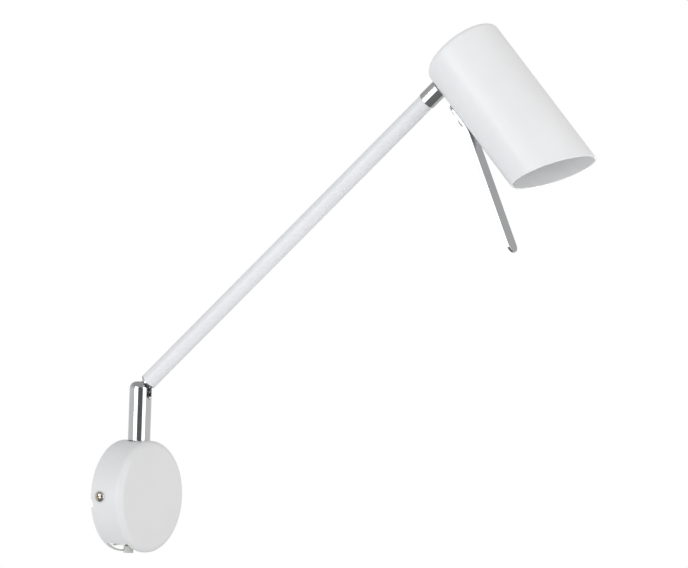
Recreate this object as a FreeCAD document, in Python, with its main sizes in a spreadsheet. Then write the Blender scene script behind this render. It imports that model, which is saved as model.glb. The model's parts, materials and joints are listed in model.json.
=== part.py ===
import FreeCAD, Part
import os
import Sketcher
from FreeCAD import Placement, Rotation, Vector

# Bedside wall reading lamp: a round wall cover, an upright stem that swivels in it, a straight arm
# hinged in the stem's slot, and a tubular shade that turns on a short neck at the arm's end.
# Row frame: the origin is the centre of the wall cover's back at the wall, +X is right seen from
# the front, the lamp stands out from the wall along -Y, and +Z is up.

doc = FreeCAD.newDocument("wall_reading_lamp")

# Driving dimensions, in millimetres and degrees.
DIMENSIONS = (
    ("canopy_dia", 80, "wall cover, outside diameter"),
    ("canopy_depth", 26, "wall cover, depth from the wall"),
    ("canopy_wall", 1.2, "wall cover, sheet thickness"),
    ("canopy_round", 5, "wall cover, outside radius of the front edge"),
    ("window_width", 43, "cable window in the bottom of the rim, across"),
    ("window_back", 2, "cable window, strip left at the wall edge"),
    ("window_front", 20, "cable window, front edge from the wall"),
    ("notch_top", 2.5, "pry notch in the rim, top edge below the side screw"),
    ("notch_height", 5.5, "pry notch, height"),
    ("notch_depth", 1.8, "pry notch, depth from the wall edge"),
    ("sheet_thick", 1.5, "wall bracket, sheet thickness"),
    ("bracket_gap", 6.8, "wall bracket, edge of the disc from the inside of the rim"),
    ("ear_width", 10, "wall bracket, width of the side ears"),
    ("ear_reach", 13, "wall bracket, length of the side ears from the wall"),
    ("wall_screw_spacing", 44, "wall bracket, distance between the two slots"),
    ("wall_slot_length", 9, "wall bracket, slot length end to end"),
    ("wall_slot_width", 4.6, "wall bracket, slot width"),
    ("supply_hole_dia", 12, "wall bracket, hole for the supply wires"),
    ("supply_hole_drop", 19, "wall bracket, supply hole below the centre"),
    ("bush_dia", 7, "cable bush, body diameter"),
    ("bush_bore", 4.6, "cable bush, bore"),
    ("bush_flange", 11, "cable bush, flange diameter"),
    ("bush_flange_thick", 1.5, "cable bush, flange thickness"),
    ("bush_inset", 6, "cable bush, distance of its axis from the wall"),
    ("bush_tail", 1, "cable bush, stands out below the rim"),
    ("shelf_width", 26, "cable shelf of the bracket, across"),
    ("shelf_reach", 12, "cable shelf, length from the wall"),
    ("shelf_inset", 6, "cable shelf, upper face above the bottom of the rim"),
    ("cover_screw_inset", 8, "side screws, distance of the axis from the wall"),
    ("cover_screw_length", 9, "side screws, length under the head"),
    ("large_screw_dia", 4, "larger machine screws, thread diameter"),
    ("large_head_dia", 7.6, "larger machine screws, head diameter"),
    ("large_head_high", 2.6, "larger machine screws, head height"),
    ("large_nut_flats", 7, "larger nuts, across flats"),
    ("large_nut_high", 3.2, "larger nuts, height"),
    ("small_screw_dia", 3, "small machine screws, thread diameter"),
    ("small_head_dia", 6, "small machine screws, head diameter"),
    ("small_head_high", 2, "small machine screws, head height"),
    ("small_nut_flats", 5.5, "small nuts, across flats"),
    ("small_nut_high", 2.2, "small nuts, height"),
    ("head_dome", 0.7, "pan heads, radius of the dome as a part of the head's diameter"),
    ("cross_length", 0.54, "cross recess, length as a part of the head's diameter"),
    ("cross_width", 0.14, "cross recess, width as a part of the head's diameter"),
    ("cross_floor", 0.4, "cross recess, floor above the seat as a part of the head's height"),
    ("straight_slot", 0.18, "straight screw slots, width as a part of the diameter"),
    ("block_width", 27, "terminal block, across"),
    ("block_height", 16, "terminal block, height"),
    ("block_depth", 13, "terminal block, depth"),
    ("pole_pitch", 9, "terminal block, distance between poles"),
    ("pole_rise", 4.5, "terminal block, clamp screws above and below the middle"),
    ("pole_well_dia", 3.8, "terminal block, screw wells"),
    ("pole_well_depth", 4.6, "terminal block, depth of the screw wells"),
    ("pole_wire_dia", 3, "terminal block, wire holes"),
    ("pole_screw_dia", 3.4, "terminal screws, diameter"),
    ("pole_screw_length", 4, "terminal screws, length"),
    ("pole_slot_depth", 1, "terminal screws, depth of the slot"),
    ("earth_side", 19, "earth screw, distance to the left and below the centre"),
    ("earth_tag_dia", 9, "earth tag, ring diameter"),
    ("earth_tail_width", 3, "earth tag, width of the tail"),
    ("earth_tail_reach", 9, "earth tag, end of the tail from the screw"),
    ("earth_tag_thick", 0.8, "earth tag, thickness"),
    ("stem_offset", 12, "stem axis from the wall"),
    ("stem_dia", 16, "stem, outside diameter"),
    ("stem_above_pivot", 5.8, "stem, top above the hinge axis"),
    ("stem_dome", 5.2, "stem, radius of the rounded top"),
    ("stem_bore", 7, "stem, wire bore"),
    ("spigot_dia", 10, "stem, threaded spigot inside the cover"),
    ("spigot_length", 13.5, "stem, length of the spigot below the rim's outside"),
    ("stem_swing", 75, "stem, swing to each side"),
    ("saddle_wall", 3.5, "stem saddle, width round the spigot"),
    ("saddle_depth", 6, "stem saddle, flat underside below the rim's outside"),
    ("lug_height", 2.2, "stem saddle, height of the stop lug"),
    ("lug_wall", 1.2, "stem saddle, radial thickness of the stop lug"),
    ("stem_washer_thick", 0.8, "stem washer, thickness"),
    ("collar_thick", 1.8, "stop collar, thickness"),
    ("collar_tab_angle", 28, "stop collar, angle that the tab covers"),
    ("stop_margin", 1, "stop collar, angle left at each end of the swing"),
    ("stem_nut_wall", 2, "stem nuts, least width round the spigot"),
    ("stem_nut_high", 2.2, "stem nuts, height of each"),
    ("pivot_rise", 36.4, "hinge axis above the top of the rim"),
    ("slot_width", 6, "stem slot, width"),
    ("slot_floor_gap", 1.9, "stem slot, floor below the tongue's eye"),
    ("slot_rear_wall", 2.1, "stem slot, metal left behind it"),
    ("hinge_dia", 4, "hinge screw, shank diameter"),
    ("hinge_head_dia", 6.6, "hinge screw, head diameter"),
    ("hinge_head_sink", 2.4, "hinge screw, head's seat below the stem's side"),
    ("hinge_head_high", 1.7, "hinge screw, head height"),
    ("hinge_slot_depth", 0.85, "hinge screw, depth of the slot"),
    ("hinge_blind_wall", 1.5, "hinge screw, metal left past its blind hole"),
    ("tongue_gap", 0.9, "arm knuckle, eye clear of the slot's rear wall"),
    ("tongue_low", 0.5, "arm knuckle, lower face of the tongue above the arm's axis"),
    ("tongue_high", 3.1, "arm knuckle, upper face of the tongue above the arm's axis"),
    ("knuckle_collar", 1.2, "arm knuckle, length of the collar below the tube"),
    ("plug_length", 18, "plugs in the arm tube, length"),
    ("knuckle_wire_dia", 4.2, "arm knuckle, wire hole"),
    ("knuckle_wire_drop", 1.8, "arm knuckle, wire hole below the arm's axis"),
    ("hinge_washer_inset", 0.8, "hinge washers, edge inside the tongue's eye"),
    ("hinge_washer_thick", 0.45, "hinge washers, thickness"),
    ("arm_elevation", 41.6, "arm, angle above level at rest"),
    ("arm_reach", 351, "arm, from the hinge axis to the shade's axis"),
    ("arm_dia", 12, "arm tube, outside diameter"),
    ("arm_wall", 1, "arm tube, wall"),
    ("arm_gap", 2, "arm tube, lower end clear of the stem's side when level"),
    ("neck_dia", 13, "neck, outside diameter"),
    ("neck_length", 14, "neck, visible length"),
    ("neck_edge", 0.4, "neck and stem, small edge rounding"),
    ("neck_stud_dia", 8, "neck, threaded stud through the shade"),
    ("neck_stud_length", 9.7, "neck, stud length past the shade's outside"),
    ("neck_bore", 5, "neck, wire bore"),
    ("neck_saddle_wall", 0.8, "neck saddle, width round the stud"),
    ("neck_saddle_thick", 2.8, "neck saddle, thickness"),
    ("neck_washer_wall", 1.6, "neck spring washer, width round the stud"),
    ("neck_washer_thick", 0.8, "neck spring washer, thickness"),
    ("neck_nut_wall", 1.5, "neck nut, least width round the stud"),
    ("neck_nut_high", 3.5, "neck nut, height"),
    ("shade_dia", 57, "shade, outside diameter"),
    ("shade_wall", 1, "shade, wall"),
    ("shade_top", 8.4, "shade, closed end above the neck's axis"),
    ("shade_round", 3.5, "shade, outside radius of the closed end"),
    ("shade_drop", 103.4, "shade, mouth below the neck's axis, on the shade's axis"),
    ("mouth_slant", 20.3, "shade, angle of the mouth to a square cut"),
    ("mouth_edge", 0.3, "shade, rounding of the mouth's edges"),
    ("lever_width", 11, "lever, width of the strip"),
    ("lever_thick", 2, "lever, thickness of the strip"),
    ("lever_edge", 0.35, "lever, rounding of the edges along it"),
    ("lever_bend", 38.5, "lever, bend below the neck's axis"),
    ("lever_bend_radius", 30, "lever, inside radius of the bend"),
    ("lever_angle", 17.7, "lever, angle away from the shade"),
    ("lever_length", 90.8, "lever, from the bend to the tip"),
    ("lever_upper_screw", 21, "lever, upper screw below the neck's axis"),
    ("lever_lower_screw", 30.4, "lever, lower screw below the neck's axis"),
    ("strap_width", 10, "lampholder bracket, width of the strap"),
    ("strap_thick", 1.2, "lampholder bracket, sheet thickness"),
    ("strap_end", 36.5, "lampholder bracket, end of the strap below the neck's axis"),
    ("plate_drop", 8, "lampholder bracket, plate below the neck's axis"),
    ("plate_width", 22, "lampholder bracket, width of the plate"),
    ("holder_width", 27, "lampholder, across"),
    ("holder_depth", 18, "lampholder, front to back"),
    ("holder_height", 18, "lampholder, height"),
    ("holder_corner", 3, "lampholder, corner radius"),
    ("holder_screw_pitch", 18, "lampholder, distance between its screws"),
    ("holder_screw_length", 7, "lampholder screws, length under the head"),
    ("pin_pitch", 10, "lamp pins, distance apart"),
    ("pin_dia", 2.4, "lamp pins, shank diameter"),
    ("pin_head_dia", 4.6, "lamp pins, head diameter"),
    ("pin_head_high", 2.5, "lamp pins, head height"),
    ("pin_length", 6.8, "lamp pins, length with the head"),
    ("pin_socket_dia", 5.2, "lampholder, pin sockets"),
    ("pin_socket_depth", 8, "lampholder, depth of the pin sockets"),
    ("lamp_base_dia", 22, "lamp, base diameter"),
    ("lamp_base_high", 8, "lamp, height of the base"),
    ("lamp_gap", 2.5, "lamp, front edge from the inside of the shade"),
    ("lamp_length", 52, "lamp, length without the pins"),
    ("lamp_rim_high", 9, "lamp, height of the front rim"),
    ("lamp_rim_wall", 2.2, "lamp, wall of the front rim"),
    ("lamp_wall", 2, "lamp, wall of the base and the flare"),
    ("lens_recess", 0.5, "lamp lens, set back from the rim"),
    ("lens_thick", 1.5, "lamp lens, thickness"),
    ("lead_dia", 1.6, "wires, diameter"),
    ("lead_spread", 0.9, "wires, each one's distance from the middle"),
    ("lead_drop", 1.4, "wires in the arm, below the arm's axis"),
    ("lead_bend", 4, "wires in the shade, bend radius"),
    ("lead_entry", 5, "wires in the shade, entry into the lampholder from its middle"),
    ("run_gap", 0.03, "radial running clearance of pins and studs"),
    ("thread_gap", 0.05, "radial clearance drawn in threaded holes"),
    ("press_gap", 0.02, "clearance of parts pressed or seated together"),
    ("hole_gap", 0.25, "radial clearance of plain screw holes"),
    ("cover_gap", 0.3, "clearance between moving or covering faces"),
)

dims = doc.addObject("Spreadsheet::Sheet", "dims")
for row, (alias, value, note) in enumerate(DIMENSIONS, start=1):
    dims.set(f"A{row}", note)
    dims.set(f"B{row}", str(value))
    dims.setAlias(f"B{row}", alias)
doc.recompute()

# Lengths that several pieces share, as expressions of the driving dimensions.
canopy_radius = "(dims.canopy_dia / 2)"
canopy_bore_radius = "(dims.canopy_dia / 2 - dims.canopy_wall)"
ear_face = f"(sqrt({canopy_bore_radius} ^ 2 - (dims.ear_width / 2) ^ 2) - dims.cover_gap)"
stem_radius = "(dims.stem_dia / 2)"
spigot_radius = "(dims.spigot_dia / 2)"
saddle_base = f"({canopy_radius} - dims.saddle_depth)"
spigot_end = f"({canopy_radius} - dims.spigot_length)"
shelf_top = f"(dims.shelf_inset - {canopy_radius})"
pivot_height = f"({canopy_radius} + dims.pivot_rise)"
stem_top = f"({pivot_height} + dims.stem_above_pivot)"
slot_back = f"({stem_radius} - dims.slot_rear_wall)"
hinge_radius = "(dims.hinge_dia / 2)"
hinge_seat = f"({stem_radius} - dims.hinge_head_sink)"
hinge_end = f"({stem_radius} - dims.hinge_blind_wall)"
tongue_round = f"({slot_back} - dims.tongue_gap)"
tongue_thick = "(dims.slot_width - 2 * dims.hinge_washer_thick - 2 * dims.thread_gap)"
slot_end = f"({pivot_height} - {tongue_round} - dims.slot_floor_gap)"
arm_start = f"({stem_radius} + dims.arm_gap)"
plug_radius = "(dims.arm_dia / 2 - dims.arm_wall - dims.press_gap)"
shade_radius = "(dims.shade_dia / 2)"
shade_bore_radius = "(dims.shade_dia / 2 - dims.shade_wall)"
neck_end = f"(dims.arm_reach - {shade_radius} - dims.cover_gap)"
neck_start = f"({neck_end} - dims.neck_length)"
stud_radius = "(dims.neck_stud_dia / 2)"
stud_end = f"(dims.arm_reach - {shade_radius} + dims.neck_stud_length)"
saddle_face = f"({shade_bore_radius} - dims.neck_saddle_thick)"
neck_washer_face = f"({saddle_face} - dims.neck_washer_thick)"
lever_seat = f"({shade_radius} + dims.press_gap)"
lever_face = f"({lever_seat} + dims.lever_thick)"
strap_face = f"(sqrt({shade_bore_radius} ^ 2 - (dims.strap_width / 2) ^ 2) - dims.press_gap)"
strap_inside = f"({strap_face} - dims.strap_thick)"
holder_back = "(dims.plate_drop + dims.strap_thick)"
holder_front = f"({holder_back} + dims.holder_height)"
lamp_back = f"({holder_front} + dims.press_gap)"
lamp_front = f"({lamp_back} + dims.lamp_length)"
lamp_radius = f"({shade_bore_radius} - dims.lamp_gap)"
lens_back = f"({lamp_front} - dims.lens_recess - dims.lens_thick)"
block_front = "(dims.sheet_thick + dims.block_depth)"
saddle_radius = f"({spigot_radius} + dims.saddle_wall)"
lug_radius = f"({saddle_radius} - dims.lug_wall)"
lead_radius = "(dims.lead_dia / 2)"

# The four groups of pieces, each modelled square in a frame of its own: the wall group at the
# origin, the stem group on the stem's axis, the arm group from the hinge along -Y, and the head
# group on the shade's axis with the mouth towards -Z. This places each group at rest.
GROUPS = {
    "wall": {},
    "stem": {"y": "-dims.stem_offset"},
    "arm": {"y": "-dims.stem_offset", "z": pivot_height, "raised": True},
    "head": {"y": "-dims.stem_offset - dims.arm_reach * cos(dims.arm_elevation)",
             "z": f"{pivot_height} + dims.arm_reach * sin(dims.arm_elevation)",
             "raised": True},
}

TURNS = {
    "+x": Rotation(Vector(0, 1, 0), 90),
    "-x": Rotation(Vector(0, 1, 0), -90),
    "+y": Rotation(Vector(1, 0, 0), -90),
    "-y": Rotation(Vector(1, 0, 0), 90),
    "+z": Rotation(),
    "-z": Rotation(Vector(1, 0, 0), 180),
}

nodes = []


def size(expression):
    """The present value of an expression of the driving dimensions."""
    return float(dims.evalExpression(expression))


def bind(item, **expressions):
    for name, expression in expressions.items():
        item.setExpression(name, expression)


def shift(item, x="0", y="0", z="0"):
    for name, expression in (("x", x), ("y", y), ("z", z)):
        item.setExpression(f"Placement.Base.{name}", expression)


def turn_about(item, axis, angle):
    item.Placement = Placement(Vector(), Rotation(axis, 1))
    item.setExpression("Placement.Rotation.Angle", angle)


def node(item, group):
    """Keeps a finished piece and stands it in its group's frame."""
    place = dict(GROUPS[group])
    if place.pop("raised", False):
        turn_about(item, Vector(-1, 0, 0), "dims.arm_elevation")
    shift(item, **place)
    nodes.append(item)


# Solids from primitives.

def cylinder(name, radius, height, at=("0", "0", "0"), along="+z", angle=None):
    item = doc.addObject("Part::Cylinder", name)
    bind(item, Radius=radius, Height=height)
    if angle:
        bind(item, Angle=angle)
    item.Placement = Placement(Vector(), TURNS[along])
    shift(item, *at)
    return item


def hexagon(name, flats, height, at, along):
    item = doc.addObject("Part::Prism", name)
    item.Polygon = 6
    bind(item, Circumradius=f"{flats} / 2 / cos(30)", Height=height)
    item.Placement = Placement(Vector(), TURNS[along])
    shift(item, *at)
    return item


def box(name, x, y, z):
    """A block between the low and high ends given for each axis."""
    item = doc.addObject("Part::Box", name)
    bind(item, Length=f"({x[1]}) - ({x[0]})", Width=f"({y[1]}) - ({y[0]})",
         Height=f"({z[1]}) - ({z[0]})")
    shift(item, x[0], y[0], z[0])
    return item


def fuse(name, *shapes):
    item = doc.addObject("Part::MultiFuse", name)
    item.Shapes = list(shapes)
    return item


def common(name, first, second):
    item = doc.addObject("Part::MultiCommon", name)
    item.Shapes = [first, second]
    return item


def cut(name, base, *tools):
    item = doc.addObject("Part::Cut", name)
    item.Base = base
    item.Tool = tools[0] if len(tools) == 1 else fuse(f"{name}_tools", *tools)
    return item


def group_of(name, *shapes):
    """Like pieces that stay separate solids under one name."""
    item = doc.addObject("Part::Compound", name)
    item.Links = list(shapes)
    return item


def along_axis(at, along, distance):
    """A point further along an axis such as "-y", as three expressions."""
    axis = "xyz".index(along[1])
    moved = list(at)
    moved[axis] = f"({at[axis]}) {along[0]} ({distance})"
    return tuple(moved)


OPPOSITE = {"+": "-", "-": "+"}


def pan_screw(name, kind, length, at, facing):
    """A cross-recess pan head screw, small or large, of this length under the head: at is under
    the head, and the head looks along facing."""
    head_dia, head_high = f"dims.{kind}_head_dia", f"dims.{kind}_head_high"
    inward = OPPOSITE[facing[0]] + facing[1]
    drum = cylinder(f"{name}_drum", f"{head_dia} / 2", head_high, at, facing)
    ball = doc.addObject("Part::Sphere", f"{name}_ball")
    bind(ball, Radius=f"{head_dia} * dims.head_dome")
    ball.Placement = Placement(Vector(), TURNS[facing])
    shift(ball, *along_axis(at, facing, f"{head_high} - {head_dia} * dims.head_dome"))
    dome = common(f"{name}_dome", drum, ball)
    shaft = cylinder(f"{name}_shaft", f"dims.{kind}_screw_dia / 2 - dims.thread_gap", length, at,
                     inward)
    bars = []
    others = [axis for axis in "xyz" if axis != facing[1]]
    for long_axis, short_axis in (others, others[::-1]):
        span = {long_axis: f"{head_dia} * dims.cross_length / 2",
                short_axis: f"{head_dia} * dims.cross_width / 2"}
        ends = {}
        for index, axis in enumerate("xyz"):
            if axis in span:
                ends[axis] = (f"({at[index]}) - {span[axis]}", f"({at[index]}) + {span[axis]}")
        low = along_axis(at, facing, f"{head_high} * dims.cross_floor")
        high = along_axis(at, facing, f"{head_high} + dims.cover_gap")
        index = "xyz".index(facing[1])
        ends[facing[1]] = (low[index], high[index]) if facing[0] == "+" else (high[index], low[index])
        bars.append(box(f"{name}_bar_{long_axis}", ends["x"], ends["y"], ends["z"]))
    return cut(name, fuse(f"{name}_blank", dome, shaft), *bars)


def hex_nut(name, flats, high, bore, at, along):
    blank = hexagon(f"{name}_blank", flats, high, at, along)
    hole = cylinder(f"{name}_hole", bore, high, at, along)
    return cut(name, blank, hole)


def ring(name, outer, inner, thick, at=("0", "0", "0"), along="+z"):
    disc = cylinder(f"{name}_disc", outer, thick, at, along)
    hole = cylinder(f"{name}_hole", inner, thick, at, along)
    return cut(name, disc, hole)


# Solids from sketches.

def new_body(name):
    return doc.addObject("PartDesign::Body", name)


def sketch_on(body, name, plane, offset=None):
    """A sketch on one of the body's own planes, moved along its normal by offset."""
    item = body.newObject("Sketcher::SketchObject", name)
    support = next(f for f in body.Origin.OriginFeatures if f.Role == plane)
    item.AttachmentSupport = [(support, "")]
    item.MapMode = "FlatFace"
    if offset:
        item.setExpression("AttachmentOffset.Base.z", offset)
    return item


def fix_point(sketch, geometry, point, place):
    for kind, expression in (("DistanceX", place[0]), ("DistanceY", place[1])):
        row = sketch.addConstraint(
            Sketcher.Constraint(kind, -1, 1, geometry, point, size(expression)))
        sketch.setExpression(f"Constraints[{row}]", expression)


def polygon(sketch, corners):
    """A closed outline whose every corner is dimensioned from the origin."""
    points = [Vector(size(x), size(y), 0) for x, y in corners]
    first = sketch.GeometryCount
    count = len(corners)
    for index, point in enumerate(points):
        sketch.addGeometry(Part.LineSegment(point, points[(index + 1) % count]), False)
    for index in range(count):
        sketch.addConstraint(
            Sketcher.Constraint("Coincident", first + index, 2, first + (index + 1) % count, 1))
    for index, corner in enumerate(corners):
        fix_point(sketch, first + index, 1, corner)


def rectangle(sketch, x, y):
    polygon(sketch, ((x[0], y[0]), (x[1], y[0]), (x[1], y[1]), (x[0], y[1])))


def circle(sketch, centre, radius):
    middle = Vector(size(centre[0]), size(centre[1]), 0)
    item = sketch.addGeometry(Part.Circle(middle, Vector(0, 0, 1), size(radius)), False)
    fix_point(sketch, item, 3, centre)
    row = sketch.addConstraint(Sketcher.Constraint("Radius", item, size(radius)))
    sketch.setExpression(f"Constraints[{row}]", radius)


def feature(body, kind, name, sketch, length, sides="One side", reverse=False):
    item = body.newObject(f"PartDesign::{kind}", name)
    item.Profile = sketch
    item.SideType = sides
    item.Reversed = reverse
    bind(item, Length=length)
    doc.recompute()
    return item


def pad(body, name, sketch, length, **options):
    return feature(body, "Pad", name, sketch, length, **options)


def pocket(body, name, sketch, length, **options):
    """A cut that has to take material away."""
    before = body.Shape.Volume
    item = feature(body, "Pocket", name, sketch, length, **options)
    if not item.Shape.Volume < before - 0.01:
        raise ValueError(f"{name} cuts nothing")
    return item


def revolve(body, name, sketch):
    item = body.newObject("PartDesign::Revolution", name)
    item.Profile = sketch
    item.ReferenceAxis = (sketch, ["V_Axis"])
    item.Angle = 360
    doc.recompute()
    return item


def round_edges(body, name, radius, wanted):
    """Rounds the edges of the body's last feature whose centre of mass passes the test."""
    base = body.Tip
    names = [f"Edge{index}" for index, edge in enumerate(base.Shape.Edges, start=1) if wanted(edge)]
    if not names:
        raise ValueError(f"{name} finds no edge")
    item = body.newObject("PartDesign::Fillet", name)
    item.Base = (base, names)
    bind(item, Radius=radius)
    doc.recompute()
    return item


def near(value, target):
    return abs(value - target) < 1e-4


def hoop(radius, axis, level):
    """A test for the round edge of this radius, at this level along the axis x, y or z."""
    def wanted(edge):
        curve = edge.Curve
        return (isinstance(curve, Part.Circle) and near(curve.Radius, size(radius))
                and near(getattr(curve.Center, axis), size(level)))
    return wanted


def straight(direction, **levels):
    """A test for a straight edge along x, y or z whose middle is at the given levels."""
    def wanted(edge):
        if not isinstance(edge.Curve, (Part.Line, Part.LineSegment)):
            return False
        middle = edge.CenterOfMass
        placed = all(near(getattr(middle, axis), size(level)) for axis, level in levels.items())
        return placed and near(abs(getattr(edge.Curve.Direction, direction)), 1)
    return wanted


# Wall cover: a pressed cup with a flat front and a rounded front edge.
def canopy_cover():
    body = new_body("canopy_cover")
    profile = sketch_on(body, "cup_profile", "XY_Plane")
    inner_face = "-(dims.canopy_depth - dims.canopy_wall)"
    polygon(profile, (("0", "-dims.canopy_depth"), (canopy_radius, "-dims.canopy_depth"),
                      (canopy_radius, "0"), (canopy_bore_radius, "0"),
                      (canopy_bore_radius, inner_face), ("0", inner_face)))
    revolve(body, "cup", profile)
    round_edges(body, "outer_round", "dims.canopy_round",
                hoop(canopy_radius, "y", "-dims.canopy_depth"))
    round_edges(body, "inner_round", "dims.canopy_round - dims.canopy_wall",
                hoop(canopy_bore_radius, "y", inner_face))
    stem_hole = sketch_on(body, "stem_hole_sketch", "XY_Plane")
    circle(stem_hole, ("0", "-dims.stem_offset"), f"{spigot_radius} + dims.run_gap")
    pocket(body, "stem_hole", stem_hole, f"{canopy_radius} + 1", reverse=True)
    side_holes = sketch_on(body, "side_holes_sketch", "YZ_Plane")
    circle(side_holes, ("-dims.cover_screw_inset", "0"), "dims.large_screw_dia / 2 + dims.hole_gap")
    pocket(body, "side_holes", side_holes, "dims.canopy_dia + 2", sides="Symmetric")
    window = sketch_on(body, "window_sketch", "XY_Plane")
    rectangle(window, ("-dims.window_width / 2", "dims.window_width / 2"),
              ("-dims.window_front", "-dims.window_back"))
    pocket(body, "window", window, f"{canopy_radius} + 1")
    notch = sketch_on(body, "notch_sketch", "YZ_Plane")
    rectangle(notch, ("-dims.notch_depth", "1"),
              ("-dims.notch_top - dims.notch_height", "-dims.notch_top"))
    pocket(body, "notch", notch, f"{canopy_radius} + 1")
    node(body, "wall")


# Wall bracket: a pressed disc with a bent ear at each side, tapped for the cover's screws, and a
# bent shelf below that holds the cable bush.
def wall_bracket():
    body = new_body("wall_bracket")
    disc = sketch_on(body, "disc_sketch", "XZ_Plane")
    circle(disc, ("0", "0"), f"{canopy_bore_radius} - dims.bracket_gap")
    pad(body, "disc", disc, "dims.sheet_thick")
    arms = sketch_on(body, "arms_sketch", "XZ_Plane")
    rectangle(arms, (f"-{ear_face}", ear_face), ("-dims.ear_width / 2", "dims.ear_width / 2"))
    pad(body, "arms", arms, "dims.sheet_thick")
    ears = sketch_on(body, "ears_sketch", "XZ_Plane")
    for low, high in ((f"-{ear_face}", f"-{ear_face} + dims.sheet_thick"),
                      (f"{ear_face} - dims.sheet_thick", ear_face)):
        rectangle(ears, (low, high), ("-dims.ear_width / 2", "dims.ear_width / 2"))
    pad(body, "ears", ears, "dims.ear_reach")
    shelf_low = f"{shelf_top} - dims.sheet_thick"
    half_shelf = ("-dims.shelf_width / 2", "dims.shelf_width / 2")
    leg = sketch_on(body, "leg_sketch", "XZ_Plane")
    rectangle(leg, half_shelf, (shelf_low, "0"))
    pad(body, "leg", leg, "dims.sheet_thick")
    shelf = sketch_on(body, "shelf_sketch", "XZ_Plane")
    rectangle(shelf, half_shelf, (shelf_low, shelf_top))
    pad(body, "shelf", shelf, "dims.shelf_reach")
    bush_hole = sketch_on(body, "bush_hole_sketch", "XY_Plane")
    circle(bush_hole, ("0", "-dims.bush_inset"), "dims.bush_dia / 2 + dims.press_gap")
    pocket(body, "bush_hole", bush_hole, f"{canopy_radius}")
    slots = sketch_on(body, "slots_sketch", "XZ_Plane")
    slot_ends = sketch_on(body, "slot_ends_sketch", "XZ_Plane")
    straight_half = "(dims.wall_slot_length - dims.wall_slot_width) / 2"
    for side in ("-", ""):
        middle = f"{side}dims.wall_screw_spacing / 2"
        rectangle(slots, (f"{middle} - {straight_half}", f"{middle} + {straight_half}"),
                  ("-dims.wall_slot_width / 2", "dims.wall_slot_width / 2"))
        for end in ("-", "+"):
            circle(slot_ends, (f"{middle} {end} {straight_half}", "0"), "dims.wall_slot_width / 2")
    pocket(body, "slots", slots, "dims.sheet_thick", reverse=True)
    pocket(body, "slot_ends", slot_ends, "dims.sheet_thick", reverse=True)
    holes = sketch_on(body, "holes_sketch", "XZ_Plane")
    circle(holes, ("0", "-dims.supply_hole_drop"), "dims.supply_hole_dia / 2")
    circle(holes, ("dims.pole_pitch / 2", "0"), "dims.small_screw_dia / 2")
    circle(holes, ("-dims.earth_side", "-dims.earth_side"), "dims.large_screw_dia / 2")
    pocket(body, "holes", holes, "dims.sheet_thick", reverse=True)
    taps = sketch_on(body, "ear_taps_sketch", "YZ_Plane")
    circle(taps, ("-dims.cover_screw_inset", "0"), "dims.large_screw_dia / 2")
    pocket(body, "ear_taps", taps, "dims.canopy_dia", sides="Symmetric")
    node(body, "wall")


# The two screws that hold the cover to the bracket's ears, one in each side of the rim.
def canopy_screws():
    screws = []
    for name, sign in (("left", "-"), ("right", "+")):
        at = (f"{sign}{canopy_radius}", "-dims.cover_screw_inset", "0")
        screws.append(pan_screw(f"cover_screw_{name}", "large", "dims.cover_screw_length", at,
                                f"{sign}x"))
    node(group_of("canopy_screws", *screws), "wall")


# Cable bush: a moulded sleeve with a flange, snapped into the bracket's shelf.
def cable_bush():
    axis = ("0", "-dims.bush_inset", f"-{canopy_radius} - dims.bush_tail")
    height = "dims.bush_tail + dims.shelf_inset + dims.bush_flange_thick"
    sleeve = cylinder("bush_sleeve", "dims.bush_dia / 2", height, axis)
    flange = cylinder("bush_flange", "dims.bush_flange / 2 - dims.press_gap",
                      "dims.bush_flange_thick", ("0", "-dims.bush_inset", shelf_top))
    hole = cylinder("bush_hole", "dims.bush_bore / 2", height, axis)
    back = box("bush_flat", ("-dims.bush_flange", "dims.bush_flange"),
               ("-dims.sheet_thick - dims.press_gap", "dims.bush_flange"),
               ("-dims.canopy_dia", "0"))
    node(cut("cable_bush", fuse("bush_blank", sleeve, flange), hole, back), "wall")


POLES = ("-dims.pole_pitch", "0", "dims.pole_pitch")
POLE_RISES = ("-dims.pole_rise", "dims.pole_rise")


# Terminal block: three poles, each with a clamp screw above and below and a wire hole through.
def terminal_block():
    blank = box("block_blank", ("-dims.block_width / 2", "dims.block_width / 2"),
                (f"-{block_front}", "-dims.sheet_thick"),
                ("-dims.block_height / 2", "dims.block_height / 2"))
    tools = [cylinder("block_fixing_hole", "dims.small_screw_dia / 2 + dims.hole_gap",
                      "dims.block_depth", ("dims.pole_pitch / 2", "-dims.sheet_thick", "0"), "-y")]
    for column, x in enumerate(POLES):
        tools.append(cylinder(f"block_wire_hole_{column}", "dims.pole_wire_dia / 2",
                              "dims.block_height",
                              (x, "-dims.sheet_thick - dims.block_depth / 2",
                               "-dims.block_height / 2")))
        for line, z in enumerate(POLE_RISES):
            tools.append(cylinder(f"block_well_{column}_{line}", "dims.pole_well_dia / 2",
                                  "dims.pole_well_depth", (x, f"-{block_front}", z), "+y"))
    node(cut("terminal_block", blank, *tools), "wall")


def terminal_screws():
    screws = []
    recess = "(dims.pole_well_depth - dims.pole_screw_length)"
    half_slot = "dims.pole_screw_dia * dims.straight_slot / 2"
    for column, x in enumerate(POLES):
        for line, z in enumerate(POLE_RISES):
            at = (x, f"-{block_front} + {recess}", z)
            shaft = cylinder(f"pole_screw_shaft_{column}_{line}", "dims.pole_screw_dia / 2",
                             "dims.pole_screw_length", at, "+y")
            slot = box(f"pole_screw_slot_{column}_{line}",
                       (f"{x} - dims.pole_screw_dia / 2", f"{x} + dims.pole_screw_dia / 2"),
                       (at[1], f"{at[1]} + dims.pole_slot_depth"),
                       (f"{z} - {half_slot}", f"{z} + {half_slot}"))
            screws.append(cut(f"pole_screw_{column}_{line}", shaft, slot))
    node(group_of("terminal_screws", *screws), "wall")


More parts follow.
